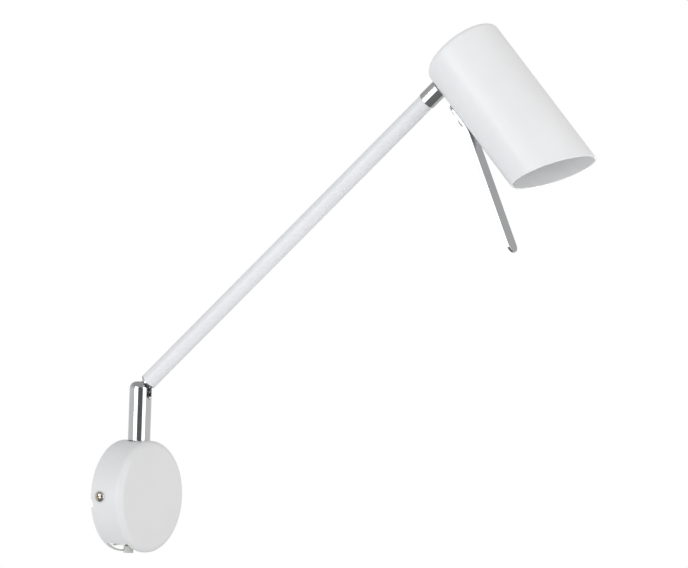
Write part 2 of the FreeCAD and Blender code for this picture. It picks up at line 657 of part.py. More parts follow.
# The screw that holds the terminal block to the bracket.
def block_screw():
    at = ("dims.pole_pitch / 2", f"-{block_front}", "0")
    length = f"{block_front} - dims.cover_gap"
    node(pan_screw("block_screw", "small", length, at, "-y"), "wall")


def earth_tag():
    at = ("-dims.earth_side", "-dims.sheet_thick", "-dims.earth_side")
    disc = cylinder("tag_disc", "dims.earth_tag_dia / 2", "dims.earth_tag_thick", at, "-y")
    tail_top = "-dims.earth_side + dims.earth_tag_dia / 2"
    tail = box("tag_tail", ("-dims.earth_side", "-dims.earth_side + dims.earth_tail_reach"),
               ("-dims.sheet_thick - dims.earth_tag_thick", "-dims.sheet_thick"),
               (f"{tail_top} - dims.earth_tail_width", tail_top))
    hole = cylinder("tag_hole", "dims.large_screw_dia / 2", "dims.earth_tag_thick", at, "-y")
    node(cut("earth_tag", fuse("tag_blank", disc, tail), hole), "wall")


def earth_screw():
    at = ("-dims.earth_side", "-dims.sheet_thick - dims.earth_tag_thick", "-dims.earth_side")
    length = "dims.sheet_thick + dims.earth_tag_thick - dims.cover_gap"
    node(pan_screw("earth_screw", "large", length, at, "-y"), "wall")


# Stem saddle: a block under the rim that fits its curve, with a flat underside for the washer and
# an arc-shaped lug behind, whose ends stop the stem's swing.
def stem_saddle():
    drum = cylinder("saddle_drum", saddle_radius, "dims.saddle_depth",
                    ("0", "0", saddle_base))
    vault = cylinder("saddle_vault", f"{canopy_bore_radius} - dims.press_gap", "dims.canopy_dia",
                     ("0", "-dims.canopy_dia / 2", "0"), "+y")
    block = common("saddle_block", drum, vault)
    lug_angle = "(360 - 2 * dims.stem_swing - 2 * dims.stop_margin - dims.collar_tab_angle)"
    lug_disc = cylinder("lug_disc", saddle_radius, "dims.lug_height",
                        ("0", "0", f"{saddle_base} - dims.lug_height"), angle=lug_angle)
    turn_about(lug_disc, Vector(0, 0, 1), f"90 - {lug_angle} / 2")
    lug_core = cylinder("lug_core", lug_radius, "dims.lug_height",
                        ("0", "0", f"{saddle_base} - dims.lug_height"))
    lug = cut("saddle_lug", lug_disc, lug_core)
    bore = cylinder("saddle_bore", f"{spigot_radius} + dims.run_gap", "dims.saddle_depth",
                    ("0", "0", saddle_base))
    node(cut("stem_saddle", fuse("saddle_blank", block, lug), bore), "stem")


def stem_washer():
    level = f"{saddle_base} - dims.stem_washer_thick"
    node(ring("stem_washer", f"{lug_radius} - dims.cover_gap", f"{spigot_radius} + dims.run_gap",
              "dims.stem_washer_thick", ("0", "0", level)), "stem")


# Stem: turned from round bar, with a wire bore, a threaded spigot below, a rounded top, and a slot
# open to the front and the top in which the arm's tongue swings. The hinge screw comes in from the
# far side, so nothing of it shows on the near side.
def stem():
    body = new_body("stem")
    profile = sketch_on(body, "stem_profile", "XZ_Plane")
    bore = "dims.stem_bore / 2"
    polygon(profile, ((bore, spigot_end), (spigot_radius, spigot_end),
                      (spigot_radius, canopy_radius), (stem_radius, canopy_radius),
                      (stem_radius, stem_top), ("0", stem_top),
                      ("0", f"{slot_end} + dims.slot_width / 2"),
                      (bore, f"{slot_end} + dims.slot_width / 2")))
    revolve(body, "bar", profile)
    round_edges(body, "dome", "dims.stem_dome", hoop(stem_radius, "z", stem_top))
    half_slot = "dims.slot_width / 2"
    slot_round = sketch_on(body, "slot_round_sketch", "XZ_Plane", f"-{slot_back}")
    circle(slot_round, ("0", f"{slot_end} + {half_slot}"), half_slot)
    pocket(body, "slot_round", slot_round, "dims.stem_dia", reverse=True)
    slot = sketch_on(body, "slot_sketch", "XZ_Plane", f"-{slot_back}")
    rectangle(slot, (f"-{half_slot}", half_slot), (f"{slot_end} + {half_slot}", f"{stem_top} + 1"))
    pocket(body, "slot", slot, "dims.stem_dia", reverse=True)
    blind_hole = sketch_on(body, "hinge_hole_sketch", "YZ_Plane", f"-{hinge_end}")
    circle(blind_hole, ("0", pivot_height), hinge_radius)
    pocket(body, "hinge_hole", blind_hole, "dims.stem_dia", reverse=True)
    seat = sketch_on(body, "hinge_seat_sketch", "YZ_Plane", hinge_seat)
    circle(seat, ("0", pivot_height), "dims.hinge_head_dia / 2 + dims.thread_gap")
    pocket(body, "hinge_seat", seat, "dims.stem_dia", reverse=True)
    node(body, "stem")


collar_low = f"({saddle_base} - dims.stem_washer_thick - dims.collar_thick)"


# Stop collar: a ring pressed on the spigot, whose tab meets the saddle's lug.
def stop_collar():
    at = ("0", "0", collar_low)
    disc = cylinder("collar_disc", f"{lug_radius} - dims.cover_gap", "dims.collar_thick", at)
    tab = cylinder("collar_tab", f"{saddle_radius} - dims.press_gap", "dims.collar_thick", at,
                   angle="dims.collar_tab_angle")
    turn_about(tab, Vector(0, 0, -1), "90 + dims.collar_tab_angle / 2")
    hole = cylinder("collar_hole", f"{spigot_radius} + dims.press_gap", "dims.collar_thick", at)
    node(cut("stop_collar", fuse("collar_blank", disc, tab), hole), "stem")


def stem_nuts():
    nuts = []
    flats = "(dims.spigot_dia + 2 * dims.stem_nut_wall)"
    for count in (1, 2):
        at = ("0", "0", f"{collar_low} - {count} * dims.stem_nut_high")
        nuts.append(hex_nut(f"stem_nut_{count}", flats, "dims.stem_nut_high",
                            f"{spigot_radius} + dims.thread_gap", at, "+z"))
    node(group_of("stem_nuts", *nuts), "stem")


# Hinge screw: its head sits in the far cheek and its end in a blind hole of the near cheek.
def hinge_screw():
    seat = (hinge_seat, "0", pivot_height)
    head = cylinder("hinge_head", "dims.hinge_head_dia / 2", "dims.hinge_head_high", seat, "+x")
    shank = cylinder("hinge_shank", f"{hinge_radius} - dims.run_gap",
                     f"{hinge_seat} + {hinge_end} - dims.cover_gap", seat, "-x")
    head_face = f"{hinge_seat} + dims.hinge_head_high"
    half_slot = "dims.hinge_head_dia * dims.straight_slot / 2"
    slot = box("hinge_screw_slot", (f"{head_face} - dims.hinge_slot_depth", head_face),
               ("-dims.hinge_head_dia", "dims.hinge_head_dia"),
               (f"{pivot_height} - {half_slot}", f"{pivot_height} + {half_slot}"))
    node(cut("hinge_screw", fuse("hinge_blank", head, shank), slot), "stem")


# Arm knuckle: a flat tongue with a round eye on the hinge, a thin collar, and a plug pressed into
# the arm tube. The tongue lies above the plug's wire hole, so the wires pass below it into the stem.
def arm_knuckle():
    body = new_body("arm_knuckle")
    eye = sketch_on(body, "eye_sketch", "YZ_Plane")
    circle(eye, ("0", "0"), tongue_round)
    pad(body, "eye", eye, tongue_thick, sides="Symmetric")
    tongue = sketch_on(body, "tongue_sketch", "YZ_Plane")
    rectangle(tongue, (f"-{arm_start}", "0"), ("dims.tongue_low", "dims.tongue_high"))
    pad(body, "tongue", tongue, tongue_thick, sides="Symmetric")
    collar = sketch_on(body, "collar_sketch", "XZ_Plane", f"{arm_start} - dims.knuckle_collar")
    circle(collar, ("0", "0"), "dims.arm_dia / 2")
    pad(body, "collar", collar, "dims.knuckle_collar")
    plug = sketch_on(body, "plug_sketch", "XZ_Plane", arm_start)
    circle(plug, ("0", "0"), plug_radius)
    pad(body, "plug", plug, "dims.plug_length")
    wire_hole = sketch_on(body, "wire_hole_sketch", "XZ_Plane",
                          f"{arm_start} - dims.knuckle_collar")
    circle(wire_hole, ("0", "-dims.knuckle_wire_drop"), "dims.knuckle_wire_dia / 2")
    pocket(body, "wire_hole", wire_hole, "dims.knuckle_collar + dims.plug_length", reverse=True)
    hinge = sketch_on(body, "hinge_sketch", "YZ_Plane")
    circle(hinge, ("0", "0"), hinge_radius)
    pocket(body, "hinge", hinge, "dims.stem_dia", sides="Symmetric")
    node(body, "arm")


# Friction washers, one each side of the tongue.
def hinge_washers():
    washers = []
    for name, sign in (("left", "-"), ("right", "+")):
        washers.append(ring(f"hinge_washer_{name}", f"{tongue_round} - dims.hinge_washer_inset",
                            f"{hinge_radius} + dims.thread_gap", "dims.hinge_washer_thick",
                            (f"{sign}{tongue_thick} / 2", "0", "0"), f"{sign}x"))
    node(group_of("hinge_washers", *washers), "arm")


def arm_tube():
    at = ("0", f"-{arm_start}", "0")
    length = f"{neck_start} - {arm_start}"
    outside = cylinder("tube_outside", "dims.arm_dia / 2", length, at, "-y")
    inside = cylinder("tube_inside", "dims.arm_dia / 2 - dims.arm_wall", length, at, "-y")
    node(cut("arm_tube", outside, inside), "arm")


# Neck: a turned sleeve with a plug in the arm tube, a plain round collar, and a hollow stud that
# goes through the shade's wall.
def neck_sleeve():
    body = new_body("neck_sleeve")
    profile = sketch_on(body, "neck_profile", "XY_Plane")
    plug_start = f"-({neck_start} - dims.plug_length)"
    collar = "dims.neck_dia / 2"
    polygon(profile, (("dims.neck_bore / 2", plug_start), (plug_radius, plug_start),
                      (plug_radius, f"-{neck_start}"), (collar, f"-{neck_start}"),
                      (collar, f"-{neck_end}"), (stud_radius, f"-{neck_end}"),
                      (stud_radius, f"-{stud_end}"), ("dims.neck_bore / 2", f"-{stud_end}")))
    revolve(body, "turned_neck", profile)
    for name, level in (("arm_edge", f"-{neck_start}"), ("shade_edge", f"-{neck_end}")):
        round_edges(body, name, "dims.neck_edge", hoop(collar, "y", level))
    node(body, "arm")


def neck_nut():
    at = ("0", f"-(dims.arm_reach - {neck_washer_face})", "0")
    flats = "(dims.neck_stud_dia + 2 * dims.neck_nut_wall)"
    node(hex_nut("neck_nut", flats, "dims.neck_nut_high", f"{stud_radius} + dims.thread_gap", at,
                 "-y"), "arm")


def lead_pair(name, start, length, along):
    """Two insulated wires side by side."""
    wires = []
    for side in ("-", "+"):
        label = "left" if side == "-" else "right"
        at = (f"{side}dims.lead_spread", start[0], start[1])
        wires.append(cylinder(f"{name}_{label}", lead_radius, length, at, along))
    return wires


def arm_leads():
    start = f"({arm_start} + dims.cover_gap)"
    wires = lead_pair("arm_lead", (f"-{start}", "-dims.lead_drop"), f"{stud_end} - {start}", "-y")
    node(group_of("arm_leads", *wires), "arm")


# Wires in the stem's bore, and below it those from the terminal block to the spigot.
def stem_leads():
    wires = lead_pair("stem_lead", ("0", spigot_end),
                      f"{slot_end} - dims.cover_gap - {spigot_end}", "+z")
    node(group_of("stem_leads", *wires), "stem")


def base_leads():
    low = "dims.block_height / 2"
    wires = lead_pair("base_lead", ("0", low), f"{spigot_end} - dims.cover_gap - {low}", "+z")
    node(group_of("base_leads", *wires), "stem")


# The lever's screws: each one's name, kind and place below the neck's axis.
LEVER_SCREWS = (("upper", "small", "dims.lever_upper_screw"),
                ("lower", "large", "dims.lever_lower_screw"))


def lever_screw_holes(body, name):
    """Plain holes for the lever's screws through what lies at the back of the shade."""
    holes = sketch_on(body, f"{name}_sketch", "XZ_Plane")
    for _, kind, drop in LEVER_SCREWS:
        circle(holes, ("0", f"-{drop}"), f"dims.{kind}_screw_dia / 2 + dims.hole_gap")
    pocket(body, name, holes, "dims.shade_dia")


# Shade: a drawn tube with a closed, round-edged end and a mouth cut at a slant, longest on the
# side away from the arm.
def shade_shell():
    body = new_body("shade_shell")
    profile = sketch_on(body, "shade_profile", "XZ_Plane")
    longest = f"(dims.shade_drop + {shade_radius} * tan(dims.mouth_slant))"
    ceiling = "dims.shade_top - dims.shade_wall"
    polygon(profile, (("0", "dims.shade_top"), (shade_radius, "dims.shade_top"),
                      (shade_radius, f"-{longest}"), (shade_bore_radius, f"-{longest}"),
                      (shade_bore_radius, ceiling), ("0", ceiling)))
    revolve(body, "drawn_tube", profile)
    round_edges(body, "end_round", "dims.shade_round", hoop(shade_radius, "z", "dims.shade_top"))
    round_edges(body, "end_round_inside", "dims.shade_round - dims.shade_wall",
                hoop(shade_bore_radius, "z", ceiling))
    mouth = sketch_on(body, "mouth_sketch", "YZ_Plane")
    reach = "dims.shade_dia"
    polygon(mouth, ((f"-{reach}", f"-dims.shade_drop - {reach} * tan(dims.mouth_slant)"),
                    (reach, f"-dims.shade_drop + {reach} * tan(dims.mouth_slant)"),
                    (reach, f"-{longest} - {reach}"), (f"-{reach}", f"-{longest} - {reach}")))
    pocket(body, "mouth", mouth, "2 * dims.shade_dia", sides="Symmetric")
    round_edges(body, "mouth_rounding", "dims.mouth_edge",
                lambda edge: isinstance(edge.Curve, Part.Ellipse))
    stud_hole = sketch_on(body, "stud_hole_sketch", "XZ_Plane")
    circle(stud_hole, ("0", "0"), f"{stud_radius} + dims.run_gap")
    pocket(body, "stud_hole", stud_hole, "dims.shade_dia")
    lever_screw_holes(body, "lever_holes")
    node(body, "head")


# Neck saddle: fits the inside of the shade's wall below its round edge, and gives the spring
# washer a flat seat.
def neck_saddle():
    at = ("0", saddle_face, "0")
    drum = cylinder("neck_saddle_drum", f"{stud_radius} + dims.neck_saddle_wall",
                    "2 * dims.neck_saddle_thick", at, "+y")
    vault = cylinder("neck_saddle_vault", f"{shade_bore_radius} - dims.press_gap",
                     f"{shade_radius} + dims.shade_top - dims.shade_round",
                     ("0", "0", f"-{shade_radius}"))
    block = common("neck_saddle_block", drum, vault)
    bore = cylinder("neck_saddle_bore", f"{stud_radius} + dims.run_gap",
                    "2 * dims.neck_saddle_thick", at, "+y")
    node(cut("neck_saddle", block, bore), "head")


def neck_washer():
    node(ring("neck_washer", f"{stud_radius} + dims.neck_washer_wall",
              f"{stud_radius} + dims.run_gap", "dims.neck_washer_thick",
              ("0", neck_washer_face, "0"), "+y"), "head")


# Lever: a flat polished strip with round ends, screwed to the shade below the neck and bent away
# from it, by which the hot shade is turned. Its upper end is concentric with the upper screw.
def lever_handle():
    body = new_body("lever_handle")
    thick = "dims.lever_thick"
    top = "dims.lever_width / 2 - dims.lever_upper_screw"
    bend = "-dims.lever_bend"
    face_bend = f"{bend} + {thick} * tan(dims.lever_angle / 2)"
    tip = (f"{lever_seat} + dims.lever_length * sin(dims.lever_angle)",
           f"{bend} - dims.lever_length * cos(dims.lever_angle)")
    tip_face = (f"{tip[0]} + {thick} * cos(dims.lever_angle)",
                f"{tip[1]} + {thick} * sin(dims.lever_angle)")
    outline = sketch_on(body, "lever_outline", "YZ_Plane")
    polygon(outline, ((lever_seat, top), (lever_seat, bend), tip, tip_face,
                      (lever_face, face_bend), (lever_face, top)))
    pad(body, "strip", outline, "dims.lever_width", sides="Symmetric")
    round_edges(body, "bend_outside", f"dims.lever_bend_radius + {thick}",
                straight("x", y=lever_seat, z=bend))
    round_edges(body, "bend_inside", "dims.lever_bend_radius",
                straight("x", y=lever_face, z=face_bend))
    for name, one, other in (("tip_round", tip, tip_face),
                             ("top_round", (lever_seat, top), (lever_face, top))):
        middle = [(size(one[axis]) + size(other[axis])) / 2 for axis in (0, 1)]
        round_edges(body, name, "dims.lever_width / 2 - dims.thread_gap",
                    lambda edge: near(edge.Length, size(thick))
                    and near(edge.CenterOfMass.y, middle[0])
                    and near(edge.CenterOfMass.z, middle[1]))
    half_width = size("dims.lever_width / 2")
    round_edges(body, "soft_edges", "dims.lever_edge",
                lambda edge: near(edge.BoundBox.XLength, 0)
                and near(abs(edge.CenterOfMass.x), half_width)
                and not near(edge.Length, size(thick)))
    lever_screw_holes(body, "lever_holes")
    node(body, "head")


# Lampholder bracket: a strap inside the shade, held by the lever's screws, bent inwards to a plate.
def holder_bracket():
    body = new_body("holder_bracket")
    half_strap = ("-dims.strap_width / 2", "dims.strap_width / 2")
    plate_range = (f"-{holder_back}", "-dims.plate_drop")
    strap = sketch_on(body, "strap_sketch", "YZ_Plane")
    rectangle(strap, (strap_inside, strap_face), ("-dims.strap_end", "-dims.plate_drop"))
    pad(body, "strap", strap, "dims.strap_width", sides="Symmetric")
    bridge = sketch_on(body, "bridge_sketch", "YZ_Plane")
    rectangle(bridge, ("0", strap_face), plate_range)
    pad(body, "bridge", bridge, "dims.strap_width", sides="Symmetric")
    plate = sketch_on(body, "plate_sketch", "YZ_Plane")
    rectangle(plate, ("-dims.holder_depth / 2", "dims.holder_depth / 2"), plate_range)
    pad(body, "plate", plate, "dims.plate_width", sides="Symmetric")
    lever_screw_holes(body, "strap_holes")
    plate_holes = sketch_on(body, "plate_holes_sketch", "XY_Plane")
    for side in ("-", ""):
        circle(plate_holes, (f"{side}dims.holder_screw_pitch / 2", "0"),
               "dims.small_screw_dia / 2 + dims.hole_gap")
    circle(plate_holes, ("0", "dims.lead_entry"), "dims.lead_spread + dims.lead_dia")
    pocket(body, "plate_holes", plate_holes, "dims.strap_end")
    node(body, "head")


# The lever's screws go through the lever, the shade and the strap into nuts behind the strap.
def lever_screws():
    for label, kind, drop in LEVER_SCREWS:
        length = (f"dims.press_gap + {lever_face} - {strap_inside} + dims.{kind}_nut_high"
                  " + dims.cover_gap")
        node(pan_screw(f"lever_screw_{label}", kind, length,
                       ("0", f"{lever_face} + dims.press_gap", f"-{drop}"), "+y"), "head")


def lever_nuts():
    for label, kind, drop in LEVER_SCREWS:
        node(hex_nut(f"lever_nut_{label}", f"dims.{kind}_nut_flats", f"dims.{kind}_nut_high",
                     f"dims.{kind}_screw_dia / 2 + dims.thread_gap",
                     ("0", strap_inside, f"-{drop}"), "-y"), "head")


# Lampholder: a ceramic block with two pin sockets in front, and two screw holes and a wire entry
# behind.
def lampholder():
    body = new_body("lampholder")
    outline = sketch_on(body, "holder_outline", "XY_Plane", f"-{holder_back}")
    rectangle(outline, ("-dims.holder_width / 2", "dims.holder_width / 2"),
              ("-dims.holder_depth / 2", "dims.holder_depth / 2"))
    pad(body, "block", outline, "dims.holder_height", reverse=True)
    round_edges(body, "corners", "dims.holder_corner",
                straight("z", z=f"-{holder_back} - dims.holder_height / 2"))
    sockets = sketch_on(body, "sockets_sketch", "XY_Plane", f"-{holder_front}")
    screw_holes = sketch_on(body, "screw_holes_sketch", "XY_Plane", f"-{holder_back}")
    for side in ("-", ""):
        circle(sockets, (f"{side}dims.pin_pitch / 2", "0"), "dims.pin_socket_dia / 2")
        circle(screw_holes, (f"{side}dims.holder_screw_pitch / 2", "0"), "dims.small_screw_dia / 2")
    circle(screw_holes, ("0", "dims.lead_entry"), "dims.lead_spread + dims.lead_dia")
    pocket(body, "sockets", sockets, "dims.pin_socket_depth", reverse=True)
    pocket(body, "screw_holes", screw_holes, "dims.holder_screw_length")
    node(body, "head")


def holder_screws():
    screws = []
    for label, side in (("left", "-"), ("right", "+")):
        at = (f"{side}dims.holder_screw_pitch / 2", "0", "-dims.plate_drop")
        screws.append(pan_screw(f"holder_screw_{label}", "small", "dims.holder_screw_length", at,
                                "+z"))
    node(group_of("holder_screws", *screws), "head")


# The lamp's flare between base and rim: how far out and how far forward, as parts of the whole.
FLARE = ((0.62, 0.36), (0.9, 0.72), (1, 1))


# Reflector lamp: a stepped base, a flared hollow body and a rim round the lens.
def lamp_body():
    body = new_body("lamp_body")
    base = "dims.lamp_base_dia / 2"
    rim_back = f"({lamp_front} - dims.lamp_rim_high)"
    base_front = f"({lamp_back} + dims.lamp_base_high)"
    lens_radius = f"({lamp_radius} - dims.lamp_rim_wall)"
    cavity = f"({base} - dims.lamp_wall)"
    flare = f"({rim_back} - {base_front})"
    profile = sketch_on(body, "lamp_profile", "XZ_Plane")
    outside = [(base, f"-{lamp_back}"), (base, f"-{base_front}")]
    inside = [(cavity, f"-{lamp_back} - dims.lamp_wall"), (cavity, f"-{base_front}")]
    for out, down in FLARE:
        level = f"-{base_front} - {flare} * {down}"
        outside.append((f"{base} + ({lamp_radius} - {base}) * {out}", level))
        inside.append((f"{cavity} + ({lens_radius} - dims.lamp_wall - {cavity}) * {out}", level))
    ledge = f"({lens_radius} - dims.lamp_wall)"
    polygon(profile, [("0", f"-{lamp_back}"), *outside, (lamp_radius, f"-{lamp_front}"),
                      (lens_radius, f"-{lamp_front}"), (lens_radius, f"-{lens_back}"),
                      (ledge, f"-{lens_back}"), *inside[::-1],
                      ("0", f"-{lamp_back} - dims.lamp_wall")])
    revolve(body, "reflector", profile)
    node(body, "head")


def lamp_pins():
    pins = []
    for label, side in (("left", "-"), ("right", "+")):
        x = f"{side}dims.pin_pitch / 2"
        shank = cylinder(f"pin_shank_{label}", "dims.pin_dia / 2",
                         "dims.pin_length - dims.pin_head_high", (x, "0", f"-{lamp_back}"))
        head = cylinder(f"pin_head_{label}", "dims.pin_head_dia / 2", "dims.pin_head_high",
                        (x, "0", f"-{lamp_back} + dims.pin_length - dims.pin_head_high"))
        pins.append(fuse(f"pin_{label}", shank, head))
    node(group_of("lamp_pins", *pins), "head")


def lamp_lens():
    disc = cylinder("lens_disc", f"{lamp_radius} - dims.lamp_rim_wall - dims.press_gap",
                    "dims.lens_thick", ("0", "0", f"-{lens_back}"), "-z")
    node(group_of("lamp_lens", disc), "head")


# Wires in the shade: from the neck's stud across and down into the lampholder.
def head_leads():
    start = f"(dims.arm_reach - {stud_end} - dims.cover_gap)"
    level = "-dims.lead_drop"
    bottom = f"-({holder_back} + dims.holder_screw_length - dims.lead_dia)"
    wires = []
    for label, side in (("left", "-"), ("right", "+")):
        x = f"{side}dims.lead_spread"
        across = cylinder(f"head_lead_across_{label}", lead_radius,
                          f"{start} - dims.lead_entry - dims.lead_bend", (x, start, level), "-y")
        bend = doc.addObject("Part::Torus", f"head_lead_bend_{label}")
        bind(bend, Radius1="dims.lead_bend", Radius2=lead_radius)
        bend.Angle3 = 90
        bend.Placement = Placement(Vector(), Rotation(Vector(0, 0, 1), Vector(0, -1, 0),
                                                      Vector(1, 0, 0), "ZXY"))
        shift(bend, x, "dims.lead_entry + dims.lead_bend", f"{level} - dims.lead_bend")
        down = cylinder(f"head_lead_down_{label}", lead_radius,
                        f"{level} - dims.lead_bend - ({bottom})", (x, "dims.lead_entry", bottom))
        wires.append(fuse(f"head_lead_{label}", across, bend, down))
    node(group_of("head_leads", *wires), "head")


PIECES = (
    canopy_cover, wall_bracket, canopy_screws, cable_bush, terminal_block, terminal_screws,
    block_screw, earth_tag, earth_screw, base_leads, stem_saddle, stem_washer,
    stem, stop_collar, stem_nuts, hinge_screw, stem_leads,
    arm_knuckle, hinge_washers, arm_tube, neck_sleeve, neck_nut, arm_leads,
    shade_shell, neck_saddle, neck_washer, lever_handle, lever_screws, lever_nuts,
    holder_bracket, lampholder, holder_screws, lamp_body, lamp_pins, lamp_lens, head_leads,
)
for make in PIECES:
    make()
doc.recompute()

for item in doc.Objects:
    if "Invalid" in item.State or "Error" in item.State:
        raise RuntimeError(f"{item.Label} failed: {item.State}")
for item in nodes:
    if item.Shape.isNull() or not item.Shape.isValid():
        raise RuntimeError(f"{item.Label} has no sound shape")

os.makedirs("parts", exist_ok=True)
for item in nodes:
    item.Shape.exportStep(f"parts/{item.Label}.step")
    print(item.Label, len(item.Shape.Solids), "solids", round(item.Shape.Volume, 1), "mm3")
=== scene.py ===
import json
from math import atan2, cos, pi, radians, sin

import bmesh
import bpy
from mathutils import Matrix, Vector


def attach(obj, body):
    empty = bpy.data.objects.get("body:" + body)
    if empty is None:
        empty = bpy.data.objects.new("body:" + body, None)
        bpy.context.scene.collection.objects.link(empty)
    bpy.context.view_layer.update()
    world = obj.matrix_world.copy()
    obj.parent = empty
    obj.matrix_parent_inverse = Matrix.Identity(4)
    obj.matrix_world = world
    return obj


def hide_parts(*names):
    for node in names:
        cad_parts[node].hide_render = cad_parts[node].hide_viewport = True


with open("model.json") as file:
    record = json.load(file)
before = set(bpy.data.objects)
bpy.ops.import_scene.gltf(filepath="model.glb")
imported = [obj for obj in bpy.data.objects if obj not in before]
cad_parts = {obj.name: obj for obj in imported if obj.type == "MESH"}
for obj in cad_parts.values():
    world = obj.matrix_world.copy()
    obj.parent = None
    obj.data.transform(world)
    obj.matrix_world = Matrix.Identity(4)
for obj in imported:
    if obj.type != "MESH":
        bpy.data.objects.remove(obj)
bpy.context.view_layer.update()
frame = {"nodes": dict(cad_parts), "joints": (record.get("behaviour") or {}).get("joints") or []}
scene = bpy.context.scene

# Camera: a long lens well to the left of the lamp and level with it, tipped a little to one side.
# The lamp's origin, at the wall behind the cover, falls on one known pixel at a known distance.
photo_width, photo_height = 688, 568
focal_pixels = 3525.9
azimuth, elevation, roll = radians(-58.183), radians(-1.228), radians(1.853)
origin_pixel = Vector((123.49, 495.17))
origin_depth = 2.5352
photo_middle = Vector((photo_width, photo_height)) / 2
from_middle = (origin_pixel - photo_middle) * origin_depth / focal_pixels
turn = (Matrix.Rotation(azimuth, 3, "Z") @ Matrix.Rotation(radians(90) - elevation, 3, "X")
        @ Matrix.Rotation(roll, 3, "Z"))
lens = bpy.data.cameras.new("camera")
lens.sensor_width = 36
lens.lens = focal_pixels * lens.sensor_width / photo_width
lens.clip_start, lens.clip_end = 0.1, 20
camera = bpy.data.objects.new("camera", lens)
camera.matrix_world = turn.to_4x4()
camera.location = turn @ Vector((-from_middle.x, from_middle.y, origin_depth))
scene.collection.objects.link(camera)
scene.camera = camera


# Wall cover: a round pressed steel cup with a soft front edge, coated satin white. It hides the
# bracket and is held by one screw in each side of its rim. The powder coat melts to a faint orange
# peel, with a finer grain in it.
def surface(name, color, metallic=0.0, **sockets):
    """A material whose plain values are set on the shader's own sockets."""
    made = bpy.data.materials.new(name)
    made.use_nodes = True
    shader = made.node_tree.nodes["Principled BSDF"]
    shader.inputs["Base Color"].default_value = (*color, 1)
    shader.inputs["Metallic"].default_value = metallic
    for socket, value in sockets.items():
        shader.inputs[socket.replace("_", " ")].default_value = value
    return made


def grain(made, cells, detail=2.0, stretch=(1, 1, 1)):
    """Noise over the piece itself, so many cells to the metre, finer or coarser along an axis."""
    nodes, links = made.node_tree.nodes, made.node_tree.links
    place = nodes.new("ShaderNodeTexCoord")
    mapping = nodes.new("ShaderNodeMapping")
    mapping.inputs["Scale"].default_value = stretch
    noise = nodes.new("ShaderNodeTexNoise")
    noise.inputs["Scale"].default_value = cells
    noise.inputs["Detail"].default_value = detail
    links.new(place.outputs["Object"], mapping.inputs["Vector"])
    links.new(mapping.outputs["Vector"], noise.inputs["Vector"])
    return noise.outputs["Fac"]


noise_low, noise_high = 0.3, 0.7


def uneven_gloss(made, pattern, low, high):
    """Lets the roughness wander between two values with the pattern."""
    nodes, links = made.node_tree.nodes, made.node_tree.links
    spread = nodes.new("ShaderNodeMapRange")
    spread.inputs["From Min"].default_value = noise_low
    spread.inputs["From Max"].default_value = noise_high
    spread.inputs["To Min"].default_value = low
    spread.inputs["To Max"].default_value = high
    links.new(pattern, spread.inputs["Value"])
    links.new(spread.outputs["Result"], nodes["Principled BSDF"].inputs["Roughness"])


def uneven_color(made, pattern, first, second):
    """Lets the colour wander between two colours with the pattern."""
    nodes, links = made.node_tree.nodes, made.node_tree.links
    ramp = nodes.new("ShaderNodeValToRGB")
    for end, position, color in zip(ramp.color_ramp.elements, (noise_low, noise_high),
                                    (first, second)):
        end.position, end.color = position, (*color, 1)
    links.new(pattern, ramp.inputs["Fac"])
    links.new(ramp.outputs["Color"], nodes["Principled BSDF"].inputs["Base Color"])


def around(color, wander):
    """The colour a little darker, and a little lighter, by a share of itself."""
    return ([value * (1 - wander) for value in color],
            [min(value * (1 + wander), 1) for value in color])


def relief(made, pattern, depth):
    """Raises the surface where the pattern is high, by up to depth metres, over earlier relief."""
    nodes, links = made.node_tree.nodes, made.node_tree.links
    normal = nodes["Principled BSDF"].inputs["Normal"]
    bump = nodes.new("ShaderNodeBump")
    bump.inputs["Distance"].default_value = depth
    if normal.is_linked:
        links.new(normal.links[0].from_socket, bump.inputs["Normal"])
    links.new(pattern, bump.inputs["Height"])
    links.new(bump.outputs["Normal"], normal)


def finish(made, *names):
    """Gives CAD nodes this material."""
    for name in names:
        for slot in frame["nodes"][name].material_slots:
            slot.material = made


def powder_coat(name, color):
    """A satin coat of one colour: faint orange peel, with a finer grain in it."""
    made = surface(name, color, Specular_IOR_Level=0.4)
    uneven_color(made, grain(made, cells=22), *around(color, wander=0.015))
    uneven_gloss(made, grain(made, cells=140), low=0.29, high=0.36)
    relief(made, grain(made, cells=420, detail=1), depth=4e-6)
    relief(made, grain(made, cells=3600, detail=2), depth=4e-7)
    return made


# The cover's copy of the white coat is set darker than the arm's and the shade's: painted shade,
# for the lesser light on the cover.
cover_white_painted_shade = powder_coat("satin_white_cover_painted_shade", (0.79, 0.79, 0.79))
finish(cover_white_painted_shade, "canopy_cover")

# Wall bracket: pressed steel sheet, bright zinc plated, which goes yellowish and bluish in patches.
# It is screwed to the wall, and its bent ears take the cover's screws.
bright_zinc = surface("bright_zinc", (0.62, 0.62, 0.60), metallic=1.0)
uneven_color(bright_zinc, grain(bright_zinc, cells=160, detail=4),
             (0.58, 0.60, 0.62), (0.68, 0.65, 0.57))
uneven_gloss(bright_zinc, grain(bright_zinc, cells=420), low=0.26, high=0.44)
relief(bright_zinc, grain(bright_zinc, cells=2600, detail=3), depth=5e-6)
finish(bright_zinc, "wall_bracket")


